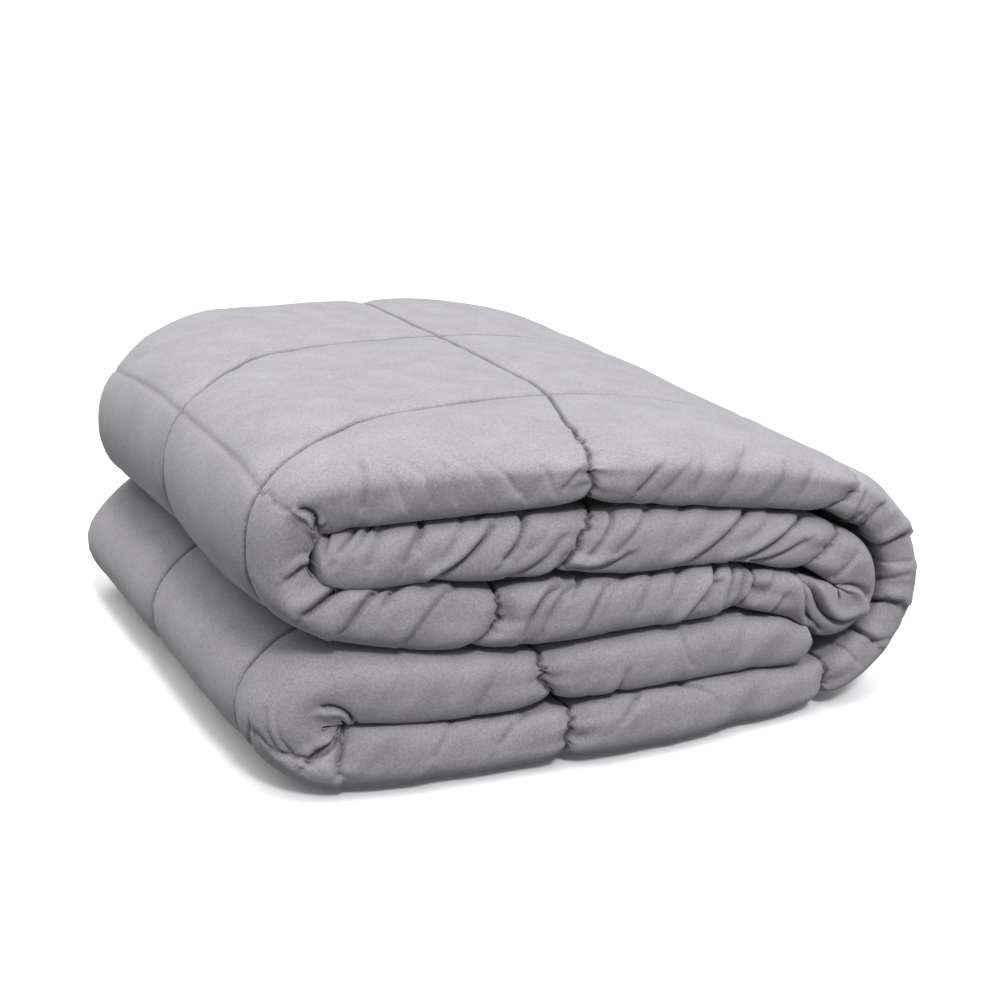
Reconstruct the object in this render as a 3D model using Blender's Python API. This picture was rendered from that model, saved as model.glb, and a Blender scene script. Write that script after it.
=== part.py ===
"""A square-quilted, bead-filled blanket, folded into a stack of five soft leaves.

The blanket is first folded in thirds into a long three-ply strip. The strip is then folded back and forth and
wrapped round itself, so one continuous solid runs from the free end of the fourth leaf through the lower left
fold, the floor leaf, the outer right wrap, the top leaf, the upper left fold, the third leaf and the inner
right fold to the tongue of the second leaf.

Axes: +X right along the front edge, +Y towards the back, +Z up. The origin is the bottom centre of the
bounding box. The tables are in millimetres, and the mesh is in metres.
"""

import math

import bpy
import numpy as np

MM = 0.001

# Driving dimensions, in millimetres
CENTRE = (16.4, 199.3)  # X and Y of the bounding box's centre, before centring
INNER_ROUND = 13.0  # depth of the edges' rounding on the face that lies inside a fold
BACK_SHARE = 0.66  # depth of the back edge's rounding over that of the front edge
END_ROUND = 8.0  # length over which a free end is rounded off
END_TIP = 0.2  # share of the thickness left at the very end
LAYER_GAP = 1.0  # left between two layers, and inside a hairpin
LEAST_HALF = 1.0  # thinnest that one side may become inside a hairpin
FAR = 1000.0  # stands for no neighbour at all
DEPTH = 400.0  # front to back, over which the sides lean
SPREAD_RIGHT = 13.0  # how far the right side has leaned out at the back
SPREAD_LOWER_LEFT = 8.0
SPREAD_UPPER_LEFT = -3.0
LOWER_SEAM_SHIFT = 12.0  # how much further back the sewn lines cross the lower left fold than the upper one
CORNER_SAG = 0.07  # share of its height that the back left corner has sunk
RIGHT_RISE = 0.035  # share of its height that the back right corner stands higher

# Bands, in x, y or z, over which one of the changes above grows from nothing to its full size
RIGHT_SPREAD_X, LEFT_SPREAD_X = (-40.0, 160.0), (40.0, -160.0)
UPPER_LEFT_Z = (40.0, 100.0)
SHIFT_Z, SHIFT_X = (80.0, 40.0), (-60.0, -120.0)
SAG_Y, SAG_X = (200.0, 360.0), (-70.0, -150.0)
RISE_Y, RISE_X = (60.0, 300.0), (-30.0, 90.0)

# Quilting
GROOVE_DEPTH = 4.6  # of a sewn channel, on each face
GROOVE_HALF = 8.0  # half its width
GROOVE_POWER = 1.4  # 1 is a V, and more is sharper at the bottom
CROWN = 1.6  # how much lower than a square's middle its cloth lies beside the channel
CROWN_REACH = 52.0
EDGE_PINCH = 4.0  # how far a cross seam draws in the rounded edges
SEAM_LEAN = 34.0  # how far the top leaf's middle cross seam runs to the right on its way back
SEAM_LEAN_REACH = 110.0
SEAM_LEAN_Y = (-10.0, 140.0)

# Mesh density
LONGEST_STEP = 18.0  # along the strip
SHORTEST_STEP = 1.0
TURN_STEP = 15.0  # most degrees turned in one step
FRONT_RINGS = (1.2, 4.5, 10.0, 18.0)  # places across the strip, inwards from the front edge
FRONT_SPAN = 24.0  # from the front edge to the first channel, below which the places above are drawn closer
MIDDLE_RINGS = (-20.0, 20.0)  # from the middle between the two sewn lines
BACK_RINGS = (20.0, 8.0, 2.0)  # inwards from the back edge

# The strip's centre line seen from the front, one row a station:
# x, z, half thickness, and depth of the front edge's rounding on the outer face
LEAF_4 = (
    (117.0, 33.0, 4.8, 14.0),
    (111.0, 36.0, 7.6, 14.0),
    (103.0, 38.8, 10.0, 14.0),
    (92.0, 41.4, 12.0, 14.0),
    (78.0, 44.4, 13.6, 14.0),
    (45.0, 47.0, 13.6, 14.0),
    (0.0, 47.6, 13.8, 14.0),
    (-40.0, 45.6, 14.6, 14.0),
    (-70.0, 46.9, 15.4, 16.0),
    (-95.0, 49.8, 16.6, 22.0),
)
FOLD_LOWER_LEFT = (
    (-119.0, 53.4, 17.4, 34.0),
    (-136.0, 49.8, 17.0, 42.0),
    (-145.0, 35.6, 16.8, 44.0),
    (-137.0, 21.6, 17.2, 42.0),
    (-119.0, 17.0, 17.6, 40.0),
)
LEAF_5 = (
    (-95.0, 15.6, 17.0, 38.0),
    (-70.0, 14.6, 15.8, 36.0),
    (-40.0, 14.4, 15.4, 36.0),
    (0.0, 15.6, 16.8, 36.0),
    (50.0, 15.4, 16.6, 36.0),
    (90.0, 13.8, 14.8, 36.0),
)
WRAP_RIGHT = (
    (118.0, 13.4, 13.6, 36.0),
    (139.5, 17.4, 13.6, 34.0),
    (156.0, 27.8, 13.2, 32.0),
    (167.5, 42.4, 12.6, 32.0),
    (172.5, 59.2, 12.4, 32.0),
    (171.5, 76.0, 12.8, 34.0),
    (163.5, 91.5, 13.2, 38.0),
    (150.0, 104.0, 13.6, 44.0),
)
LEAF_1 = (
    (131.0, 114.0, 14.2, 52.0),
    (108.0, 121.2, 14.8, 60.0),
    (85.0, 126.2, 15.4, 68.0),
    (55.0, 132.2, 15.6, 78.0),
    (20.0, 137.8, 15.4, 84.0),
    (-15.0, 140.8, 15.4, 84.0),
    (-60.0, 142.0, 16.2, 80.0),
    (-100.0, 142.0, 16.4, 66.0),
)
FOLD_UPPER_LEFT = (
    (-121.0, 140.2, 16.2, 58.0),
    (-137.0, 133.6, 15.6, 52.0),
    (-144.0, 122.0, 15.2, 48.0),
    (-145.0, 107.6, 15.0, 46.0),
    (-139.5, 95.0, 15.2, 40.0),
    (-127.0, 88.4, 15.4, 28.0),
)
LEAF_3 = (
    (-110.0, 85.4, 15.2, 18.0),
    (-83.0, 81.0, 16.2, 14.0),
    (-53.0, 77.0, 16.2, 14.0),
    (-25.0, 76.4, 15.6, 14.0),
    (9.0, 76.0, 13.4, 14.0),
    (40.0, 75.2, 13.6, 14.0),
    (70.0, 72.8, 12.8, 14.0),
    (92.0, 67.6, 12.0, 14.0),
)
FOLD_RIGHT = (
    (107.0, 62.0, 11.8, 14.0),
    (120.0, 55.2, 13.8, 16.0),
    (132.5, 52.0, 15.8, 18.0),
    (142.0, 58.5, 15.8, 18.0),
    (141.5, 70.5, 15.0, 16.0),
    (132.0, 80.5, 14.2, 14.0),
    (119.0, 86.8, 14.0, 14.0),
)
LEAF_2 = (
    (104.0, 91.2, 13.8, 14.0),
    (87.0, 95.4, 13.6, 14.0),
    (64.0, 100.6, 13.4, 14.0),
    (31.0, 105.0, 14.8, 14.0),
    (0.0, 107.4, 16.0, 14.0),
    (-25.0, 109.2, 15.6, 14.0),
    (-53.0, 109.6, 14.8, 14.0),
    (-83.0, 111.2, 13.2, 14.0),
    (-103.0, 111.6, 12.2, 14.0),
    (-117.0, 112.6, 10.4, 16.0),
    (-129.5, 113.0, 8.8, 18.0),
)
STRIP = (LEAF_4, FOLD_LOWER_LEFT, LEAF_5, WRAP_RIGHT, LEAF_1, FOLD_UPPER_LEFT, LEAF_3, FOLD_RIGHT, LEAF_2)

# Cross seams, one row each: the part of the strip, and how far along it the seam meets its front edge
CROSS_SEAMS = (
    (LEAF_4, 146.0),
    (FOLD_LOWER_LEFT, 47.0),
    (LEAF_5, 77.0),
    (WRAP_RIGHT, 11.0),
    (WRAP_RIGHT, 147.0),
    (LEAF_1, 142.0),
    (FOLD_UPPER_LEFT, 17.0),
    (LEAF_3, 56.0),
    (LEAF_3, 190.0),
    (FOLD_RIGHT, 76.0),
    (LEAF_2, 121.0),
)
MIDDLE_TOP_SEAM = 5  # the row of the seam that crosses the top leaf's middle

# Plan across the width, one row a station: x, y of the front edge, of the two sewn lines, and of the back edge
PLAN = (
    (-175.0, 34.0, 52.0, 170.0, 300.0),
    (-145.0, 16.0, 36.0, 168.0, 328.0),
    (-120.0, 4.0, 46.0, 190.0, 364.0),
    (-90.0, 0.0, 72.0, 232.0, 386.0),
    (-40.0, -5.0, 92.0, 252.0, 400.0),
    (0.0, -11.0, 102.0, 256.0, 406.0),
    (40.0, -11.5, 108.0, 260.0, 410.0),
    (80.0, -6.0, 112.0, 266.0, 410.0),
    (120.0, -3.0, 110.0, 268.0, 408.0),
    (150.0, -2.0, 100.0, 262.0, 398.0),
    (190.0, 0.0, 94.0, 256.0, 384.0),
)


def smooth_curve(rows, spans_per_row=12):
    """Centripetal Catmull-Rom curve through rows whose first two columns are the place."""
    rows = np.array(rows, float)
    rows = np.vstack([2 * rows[0] - rows[1], rows, 2 * rows[-1] - rows[-2]])
    out = []
    for p0, p1, p2, p3 in zip(rows, rows[1:], rows[2:], rows[3:]):
        t0 = 0.0
        t1 = t0 + math.dist(p0[:2], p1[:2]) ** 0.5
        t2 = t1 + math.dist(p1[:2], p2[:2]) ** 0.5
        t3 = t2 + math.dist(p2[:2], p3[:2]) ** 0.5
        for t in np.linspace(t1, t2, spans_per_row, endpoint=False):
            a1 = p0 + (p1 - p0) * (t - t0) / (t1 - t0)
            a2 = p1 + (p2 - p1) * (t - t1) / (t2 - t1)
            a3 = p2 + (p3 - p2) * (t - t2) / (t3 - t2)
            b1 = a1 + (a2 - a1) * (t - t0) / (t2 - t0)
            b2 = a2 + (a3 - a2) * (t - t1) / (t3 - t1)
            out.append(b1 + (b2 - b1) * (t - t1) / (t2 - t1))
    out.append(rows[-2])
    return np.array(out)


class CentreLine:
    """The strip's centre line, looked up by the distance s along it."""

    def __init__(self):
        dense = smooth_curve([row for part in STRIP for row in part])
        self.x, self.z, self.half, self.round = dense.T
        self.s = np.concatenate([[0.0], np.cumsum(np.hypot(np.diff(self.x), np.diff(self.z)))])
        self.heading = np.unwrap(np.arctan2(np.gradient(self.z, self.s), np.gradient(self.x, self.s)))
        self.room = {side: self.room_on(side) for side in (INNER, OUTER)}

    def room_on(self, side):
        """How thick the strip can be on this side before it meets another layer, or itself inside a hairpin.

        A circle that touches the centre line here and passes through another point of it is shared between
        the two places by their half thicknesses. The tightest such circle decides.
        """
        dx, dz = self.x[None] - self.x[:, None], self.z[None] - self.z[:, None]
        towards = side * (np.cos(self.heading)[:, None] * dz - np.sin(self.heading)[:, None] * dx)
        across = (dx**2 + dz**2) / np.maximum(towards, 1e-6)
        share = self.half[:, None] / (self.half[:, None] + self.half[None])
        return np.where(towards > 1e-6, across * share, FAR).min(axis=1) - LAYER_GAP / 2

    def at(self, s):
        """x, z, half thickness, outer rounding, heading, and the room on each side, at each s."""
        columns = (self.x, self.z, self.half, self.round, self.heading, self.room[INNER], self.room[OUTER])
        return [np.interp(s, self.s, column) for column in columns]

    def where(self, part, along):
        """The distance along the strip of a place so many millimetres along one of its parts."""
        x, z = part[0][:2]
        return self.s[np.argmin((self.x - x) ** 2 + (self.z - z) ** 2)] + along


INNER, OUTER = 1, -1  # the two faces: the side of the centre line that each lies on
LINE = CentreLine()
LENGTH = LINE.s[-1]
SEAMS = np.array([LINE.where(part, along) for part, along in CROSS_SEAMS])


def ramp(value, start, end):
    """A smooth step from 0 at the start to 1 at the end, which may lie below the start."""
    share = np.clip((value - start) / (end - start), 0.0, 1.0)
    return share * share * (3 - 2 * share)


def stations():
    """Distances along the strip: closer together in the folds and at the ends, and three across each cross seam."""
    fixed = [share * END_ROUND for share in (0.0, 0.2, 0.5, 1.0)]
    fixed += [LENGTH - f for f in reversed(fixed)]
    for seam in SEAMS:
        fixed += [seam - GROOVE_HALF, seam, seam + GROOVE_HALF]
    fixed = sorted(fixed)
    out = [fixed[0]]
    for a, b in zip(fixed, fixed[1:]):
        if b - a < SHORTEST_STEP:
            continue
        turned = np.degrees(abs(np.diff(np.interp([a, b], LINE.s, LINE.heading))[0]))
        spans = max(1, round((b - a) / LONGEST_STEP), math.ceil(turned / TURN_STEP))
        out += list(np.linspace(a, b, spans + 1)[1:])
    return np.array(out)


def ring():
    """The places round the strip: for each face from front to back, an anchor in the plan and its offset.

    "between" takes the middle of the two sewn lines, and "rear" the middle of the second line and the back.
    """
    face = [("front", offset) for offset in FRONT_RINGS]
    face += [("line_a", offset) for offset in (-GROOVE_HALF, 0.0, GROOVE_HALF)]
    face += [("between", offset) for offset in MIDDLE_RINGS]
    face += [("line_b", offset) for offset in (-GROOVE_HALF, 0.0, GROOVE_HALF)]
    face += [("rear", 0.0)]
    face += [("back", -offset) for offset in BACK_RINGS]
    outer = [(*place, OUTER) for place in face]
    inner = [(*place, INNER) for place in reversed(face)]
    return [("front", 0.0, OUTER), *outer, ("back", 0.0, OUTER), *inner]


def sewn(distance, depth=GROOVE_DEPTH):
    """How deep the cloth lies at this distance from a sewn line: its channel, and the square's crown."""
    channel = np.clip(1 - np.abs(distance) / GROOVE_HALF, 0, 1) ** GROOVE_POWER
    crown = np.clip(1 - np.abs(distance) / CROWN_REACH, 0, 1) ** 2
    return (depth - CROWN) * channel + CROWN * crown


def end_taper(s):
    """Thickness over full thickness near the two free ends."""
    inward = np.clip(np.minimum(s, LENGTH - s) / END_ROUND, 0, 1)
    return END_TIP + (1 - END_TIP) * np.sqrt(1 - (1 - inward) ** 2)


def rounding(inward, depth):
    """Share of the full thickness at this distance from an edge that is rounded over this depth."""
    return np.sqrt(1 - (1 - np.clip(inward / depth, 0, 1)) ** 2)


def strip_points(s):
    """Points of every ring: an array of (stations, ring places, xyz) in millimetres."""
    plan = np.array(PLAN)
    cross = sewn(np.abs(s[:, None] - SEAMS[None]).min(axis=1))
    pinch = EDGE_PINCH / GROOVE_DEPTH * cross
    rows = []
    for anchor, offset, face in ring():
        slid = s
        for _ in range(2):
            x, z, half, outer_round, heading, *room = LINE.at(slid)
            front, line_a, line_b, back = (np.interp(x, plan[:, 0], plan[:, c]) for c in (1, 2, 3, 4))
            further = LOWER_SEAM_SHIFT * ramp(z, *SHIFT_Z) * ramp(x, *SHIFT_X)
            line_a, line_b = line_a + further, line_b + further
            front, back = front + pinch, back - pinch
            anchors = {"front": front, "line_a": line_a, "line_b": line_b, "back": back}
            anchors["between"] = (line_a + line_b) / 2
            anchors["rear"] = (line_b + back) / 2
            closer = np.clip((line_a - GROOVE_HALF - front) / FRONT_SPAN, 0, 1) if anchor == "front" else 1
            y = anchors[anchor] + offset * closer
            lean = SEAM_LEAN * ramp(y, *SEAM_LEAN_Y) * ramp(np.abs(s - SEAMS[MIDDLE_TOP_SEAM]), SEAM_LEAN_REACH, 0)
            slid = s - lean
        dips = np.maximum(cross, np.maximum(sewn(y - line_a), sewn(y - line_b)))
        depth = outer_round if face == OUTER else INNER_ROUND
        edge = rounding(y - front, depth) * rounding(back - y, BACK_SHARE * depth)
        lift = (half - dips) * end_taper(s) * edge
        lift = face * np.minimum(lift, np.maximum(room[0 if face == INNER else 1], LEAST_HALF))
        rows.append(np.stack([x - np.sin(heading) * lift, y, z + np.cos(heading) * lift], axis=-1))
    return np.stack(rows, axis=1)


def settle(points):
    """Leans the sides out towards the back, and presses the underside flat."""
    x, y, z = np.moveaxis(points, -1, 0)
    share = np.clip(y / DEPTH, 0, 1)
    left = SPREAD_LOWER_LEFT + (SPREAD_UPPER_LEFT - SPREAD_LOWER_LEFT) * ramp(z, *UPPER_LEFT_Z)
    spread = SPREAD_RIGHT * ramp(x, *RIGHT_SPREAD_X) - left * ramp(x, *LEFT_SPREAD_X)
    sag = CORNER_SAG * ramp(y, *SAG_Y) * ramp(x, *SAG_X)
    rise = RIGHT_RISE * ramp(y, *RISE_Y) * ramp(x, *RISE_X)
    z = z * (1 - sag + rise)
    x = x + share * spread
    return np.stack([x - CENTRE[0], y - CENTRE[1], np.maximum(z, 0.0)], axis=-1)


def quilt_mesh():
    """One closed mesh: rings joined in order, and a strip of faces across each free end."""
    points = settle(strip_points(stations())) * MM
    count, around = points.shape[:2]
    faces = []
    for i in range(count - 1):
        for j in range(around):
            k = (j + 1) % around
            faces.append((i * around + j, i * around + k, (i + 1) * around + k, (i + 1) * around + j))
    last = (count - 1) * around
    pairs = [(i, (around - i) % around) for i in range(around // 2 + 1)]
    for (a, b), (c, d) in zip(pairs, pairs[1:]):
        faces.append(tuple(dict.fromkeys((a, b, d, c))))
        faces.append(tuple(last + v for v in dict.fromkeys((c, d, b, a))))
    mesh = bpy.data.meshes.new("quilt")
    mesh.from_pydata(points.reshape(-1, 3).tolist(), [], faces)
    mesh.update()
    return mesh


def fabric(name, colour, roughness):
    material = bpy.data.materials.new(name)
    material.use_nodes = True
    shader = material.node_tree.nodes["Principled BSDF"]
    shader.inputs["Base Color"].default_value = (*colour, 1.0)
    shader.inputs["Roughness"].default_value = roughness
    shader.inputs["Metallic"].default_value = 0.0
    return material


def build():
    for old in list(bpy.data.objects):
        bpy.data.objects.remove(old)
    quilt = bpy.data.objects.new("quilt", quilt_mesh())
    quilt.data.materials.append(fabric("brushed grey cloth", (0.33, 0.32, 0.335), 0.9))
    quilt.data.shade_smooth()
    bpy.context.scene.collection.objects.link(quilt)


build()
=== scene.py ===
"""Looks of a folded, square-quilted, bead-filled blanket: cloth, floor, light and camera.

The cloth follows the same folded strip as the solid it replaces: a centre line seen from the
front, a half thickness, and a plan of the front edge, two sewn lines and back edge. Sizes in the
tables are in millimetres. A place on the strip is (s, v): s runs along the centre line, and v runs
round the cross-section from its front edge, positive on the outer face and negative on the inner
one. A range is the value where a change starts and the one where it is full.
"""

import math
from collections import namedtuple

import bpy
import numpy as np
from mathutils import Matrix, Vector


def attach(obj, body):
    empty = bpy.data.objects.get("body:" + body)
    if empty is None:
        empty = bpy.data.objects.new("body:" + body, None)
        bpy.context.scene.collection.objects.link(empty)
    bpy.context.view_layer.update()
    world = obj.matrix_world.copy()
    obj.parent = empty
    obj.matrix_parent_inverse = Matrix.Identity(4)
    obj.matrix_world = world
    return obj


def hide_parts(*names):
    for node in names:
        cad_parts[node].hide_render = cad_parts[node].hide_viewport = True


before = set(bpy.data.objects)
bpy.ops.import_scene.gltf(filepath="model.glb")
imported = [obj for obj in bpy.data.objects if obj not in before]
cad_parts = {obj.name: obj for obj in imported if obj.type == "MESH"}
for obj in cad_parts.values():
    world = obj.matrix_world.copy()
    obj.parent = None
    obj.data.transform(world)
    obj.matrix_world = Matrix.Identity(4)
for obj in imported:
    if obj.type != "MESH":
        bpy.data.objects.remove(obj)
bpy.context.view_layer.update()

MM = 0.001
INNER, OUTER = 1, -1
CENTRE = (16.4, 199.3)  # X and Y of the solid's box in the tables' coordinates
NOISE_CELLS = 64  # after which the noise repeats
TINY, LEAST_NORM = 1e-6, 1e-9  # what a divisor is at least

# ---------------------------------------------------------------- the strip
LAYER_GAP = 0.5  # that is left at least between two layers
LEAST_HALF = 1.0  # half thickness that is kept where another layer presses on the strip
FAR = 1000.0  # the room where no other layer is near
END_ROUND = 11.0  # length over which a free end of the strip is rounded
END_TIP = 0.1  # share of the thickness that is left at the very end
INNER_ROUND = 8.0  # depth of the front edge's rounding on the inner face
BACK_SHARE = 0.66  # depth of the back edge's rounding over that of the front edge's
FULLNESS = 2.5  # 2 is an ellipse; more makes the front edges fuller
CENTRIPETAL = 0.5  # how the centre line's curve weighs the distance between its points
HEADING_REACH = 5  # points either side that the centre line's direction is averaged over
PLAN_STEP = 2.0
PLAN_REACH = 10  # steps either side that the plan is averaged over

# How the stack leans and settles
STACK_DEPTH = 400.0  # at which the sides' spread is full
SPREAD_RIGHT, RIGHT_RANGE = 13.0, (-40.0, 160.0)
SPREAD_LOWER_LEFT, SPREAD_UPPER_LEFT = 8.0, -3.0
LEFT_RANGE, LOWER_TO_UPPER = (40.0, -160.0), (40.0, 100.0)
CORNER_SAG, SAG_DEPTHS, SAG_RANGE = 0.07, (200.0, 360.0), (-70.0, -150.0)
RIGHT_RISE, RISE_DEPTHS, RISE_RANGE = 0.035, (60.0, 300.0), (-30.0, 90.0)

# How far back the sewn lines move on the lower left, and how far right the top's middle seam leans
LOWER_SEAM_SHIFT, SHIFT_HEIGHTS, SHIFT_RANGE = 12.0, (80.0, 40.0), (-60.0, -120.0)
SEAM_LEAN, LEAN_DEPTHS, LEAN_REACH = 34.0, (-10.0, 140.0), (110.0, 0.0)

# x, z, half thickness, and depth of the front edge's rounding on the outer face
LEAF_4 = (
    (115.0, 39.4, 12.6, 14.0),
    (103.0, 41.2, 13.0, 14.0),
    (92.0, 42.8, 13.4, 14.0),
    (78.0, 44.4, 13.6, 14.0),
    (45.0, 47.0, 13.6, 14.0),
    (0.0, 47.6, 13.8, 14.0),
    (-40.0, 45.6, 14.6, 14.0),
    (-70.0, 46.9, 15.4, 16.0),
    (-95.0, 49.8, 16.6, 22.0),
)
FOLD_LOWER_LEFT = (
    (-117.0, 53.0, 17.8, 34.0),
    (-131.0, 48.6, 19.6, 42.0),
    (-138.6, 35.6, 23.0, 44.0),
    (-132.0, 22.6, 19.8, 42.0),
    (-117.0, 17.2, 17.8, 40.0),
)
LEAF_5 = (
    (-95.0, 15.6, 17.0, 38.0),
    (-70.0, 14.6, 15.8, 36.0),
    (-40.0, 14.4, 15.4, 36.0),
    (0.0, 15.6, 16.8, 36.0),
    (50.0, 15.4, 16.6, 36.0),
    (90.0, 13.8, 14.8, 36.0),
)
WRAP_RIGHT = (
    (118.0, 13.4, 13.6, 36.0),
    (139.5, 17.4, 13.6, 34.0),
    (156.0, 27.8, 13.2, 32.0),
    (167.5, 42.4, 12.6, 32.0),
    (172.5, 59.2, 12.4, 32.0),
    (171.5, 76.0, 12.8, 34.0),
    (163.5, 91.5, 13.2, 38.0),
    (150.0, 104.0, 13.6, 44.0),
)
LEAF_1 = (
    (131.0, 114.0, 14.2, 52.0),
    (108.0, 121.2, 14.8, 60.0),
    (85.0, 126.2, 15.4, 68.0),
    (55.0, 132.2, 15.6, 78.0),
    (20.0, 137.8, 15.4, 84.0),
    (-15.0, 140.8, 15.4, 84.0),
    (-60.0, 142.0, 16.2, 80.0),
    (-100.0, 142.0, 16.4, 66.0),
)
FOLD_UPPER_LEFT = (
    (-121.0, 140.2, 16.2, 58.0),
    (-136.0, 132.8, 16.4, 52.0),
    (-141.6, 122.0, 17.6, 48.0),
    (-141.4, 108.0, 18.8, 46.0),
    (-137.4, 96.8, 17.6, 40.0),
    (-126.0, 89.0, 16.0, 28.0),
)
LEAF_3 = (
    (-110.0, 85.4, 15.2, 18.0),
    (-83.0, 81.0, 16.2, 14.0),
    (-53.0, 77.0, 16.2, 14.0),
    (-25.0, 76.4, 15.6, 14.0),
    (9.0, 76.0, 13.4, 14.0),
    (40.0, 75.2, 13.6, 14.0),
    (70.0, 72.8, 12.8, 14.0),
    (92.0, 67.6, 12.0, 14.0),
)
FOLD_RIGHT = (
    (107.0, 62.0, 11.8, 14.0),
    (120.0, 55.2, 13.8, 16.0),
    (132.5, 52.0, 15.8, 18.0),
    (142.0, 58.5, 15.8, 18.0),
    (141.5, 70.5, 15.0, 16.0),
    (132.0, 80.5, 14.2, 14.0),
    (119.0, 86.8, 14.0, 14.0),
)
LEAF_2 = (
    (104.0, 91.2, 13.8, 14.0),
    (87.0, 95.4, 13.6, 14.0),
    (64.0, 100.6, 13.4, 14.0),
    (31.0, 105.0, 14.8, 14.0),
    (0.0, 107.4, 16.0, 14.0),
    (-25.0, 109.2, 15.6, 14.0),
    (-53.0, 109.6, 14.8, 14.0),
    (-83.0, 111.2, 13.2, 14.0),
    (-103.0, 111.0, 14.2, 14.0),
    (-115.0, 110.6, 14.2, 14.0),
    (-131.0, 110.0, 13.8, 14.0),
)
STRIP = (
    LEAF_4,
    FOLD_LOWER_LEFT,
    LEAF_5,
    WRAP_RIGHT,
    LEAF_1,
    FOLD_UPPER_LEFT,
    LEAF_3,
    FOLD_RIGHT,
    LEAF_2,
)

# x, y of the front edge, of the two sewn lines, and of the back edge
PLAN = (
    (-175.0, 34.0, 52.0, 170.0, 300.0),
    (-145.0, 16.0, 36.0, 168.0, 328.0),
    (-120.0, 4.0, 46.0, 190.0, 364.0),
    (-90.0, 0.0, 72.0, 232.0, 386.0),
    (-40.0, -5.0, 92.0, 252.0, 400.0),
    (0.0, -11.0, 102.0, 256.0, 406.0),
    (40.0, -11.5, 108.0, 260.0, 410.0),
    (80.0, -6.0, 112.0, 266.0, 410.0),
    (120.0, -3.0, 110.0, 268.0, 408.0),
    (150.0, -2.0, 100.0, 262.0, 398.0),
    (190.0, 0.0, 94.0, 256.0, 384.0),
)

# Cross seams, one row each: the part of the strip, how hard the seam draws the cloth in, and how
# far along the part it runs at each v of SEAM_V
SEAM_V = (-30.0, -15.0, 0.0, 15.0, 30.0, 60.0)
CROSS_SEAMS = (
    (LEAF_4, 1.0, 140.0, 141.0, 146.0, 145.0, 144.0, 144.0),
    (FOLD_LOWER_LEFT, 0.6, 56.0, 52.0, 44.5, 36.0, 31.0, 52.0),
    (LEAF_5, 1.0, 80.0, 79.0, 77.0, 75.0, 75.0, 75.0),
    (WRAP_RIGHT, 1.0, 12.0, 12.0, 9.0, 8.0, 9.0, 11.0),
    (WRAP_RIGHT, 0.7, 158.0, 157.0, 145.0, 142.0, 141.0, 141.0),
    (LEAF_1, 1.0, 142.0, 142.0, 143.0, 141.0, 140.0, 142.0),
    (FOLD_UPPER_LEFT, 0.3, 20.0, 20.0, 19.0, 19.0, 19.0, 17.0),
    (LEAF_3, 1.0, 60.0, 58.0, 59.0, 50.0, 44.0, 44.0),
    (LEAF_3, 1.0, 192.0, 190.0, 191.0, 185.0, 180.0, 180.0),
    (FOLD_RIGHT, 0.7, 76.0, 84.0, 75.0, 71.0, 70.0, 70.0),
    (LEAF_2, 1.0, 133.0, 128.0, 120.0, 114.0, 107.0, 106.0),
)
MIDDLE_TOP_SEAM = 5  # its row

# ---------------------------------------------------------------- quilting
SEAM_DEPTH = 2.3  # of the narrow line that the thread pulls in
SEAM_WIDTH = 0.8
LINE_WIDTH = 1.1  # the same for the two long lines
VALLEY_DEPTH = 2.0  # of the soft valley round it
VALLEY_REACH = 6.0
CROWN = 1.6  # height of a square's middle over its border
CROWN_REACH = 52.0
DIP_GAIN = 1.6  # how soon a valley is at its full depth behind the rounded edge
EDGE_PINCH, PINCH_REACH = 3.0, 5.0  # how far a cross seam draws the front and back edges in
SEAM_BEND_REACH = 30.0  # how far from a cross seam the cloth bends with it

# Along a sewn line: a height or a shift, the pitch of its noise, the distance from the line at
# which it is full where it starts from nothing, and the distance over which it dies away
WANDER, WANDER_PITCH, WANDER_REACH = 0.9, 2.4, 6.0  # how a cross seam strays
PUCKER, PUCKER_PITCH, PUCKER_START, PUCKER_REACH = 1.0, 3.6, 1.2, 4.5  # the lobes beside it
DRAWN, DRAWN_PITCH, DRAWN_START, DRAWN_REACH = 0.9, 6.0, 3.0, 14.0  # the longer folds it draws
DRAWN_LEAN = 0.02
LINE_WANDER, LINE_WANDER_PITCH = 0.35, 4.0  # the same of the two long lines
LINE_PUCKER, LINE_PUCKER_PITCH, LINE_PUCKER_START, LINE_PUCKER_REACH = 0.45, 7.0, 1.5, 5.0
CALM, FRONT_REACH = 0.1, (70.0, 30.0)  # share of it away from the front, and where the front is
# Its noise: how many rows lie between a line's two sides and between two lines, and the seed
LINE_NOISE = {
    "wander": (0, 1, 3),
    "pucker": (3, 7, 5),
    "drawn": (2, 5, 6),
    "line wander": (0, 7, 11),
    "line pucker": (3, 10, 13),
}

# The cloth's unevenness, one row a layer: height, pitch along the strip and round it, and seed
SLANT = 0.8  # how much the front's folds lean
FRONT_FOLDS = ((0.9, 17.0, 40.0, 21), (0.35, 7.0, 22.0, 22))
WAVES = ((0.5, 34.0, 30.0, 23), (0.12, 9.0, 12.0, 24))
BRUSHED = ((0.16, 34.0, 7.0, 25), (0.16, 60.0, 12.0, 26))
FRONT_FOLDS_REACH = (34.0, 16.0)


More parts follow.
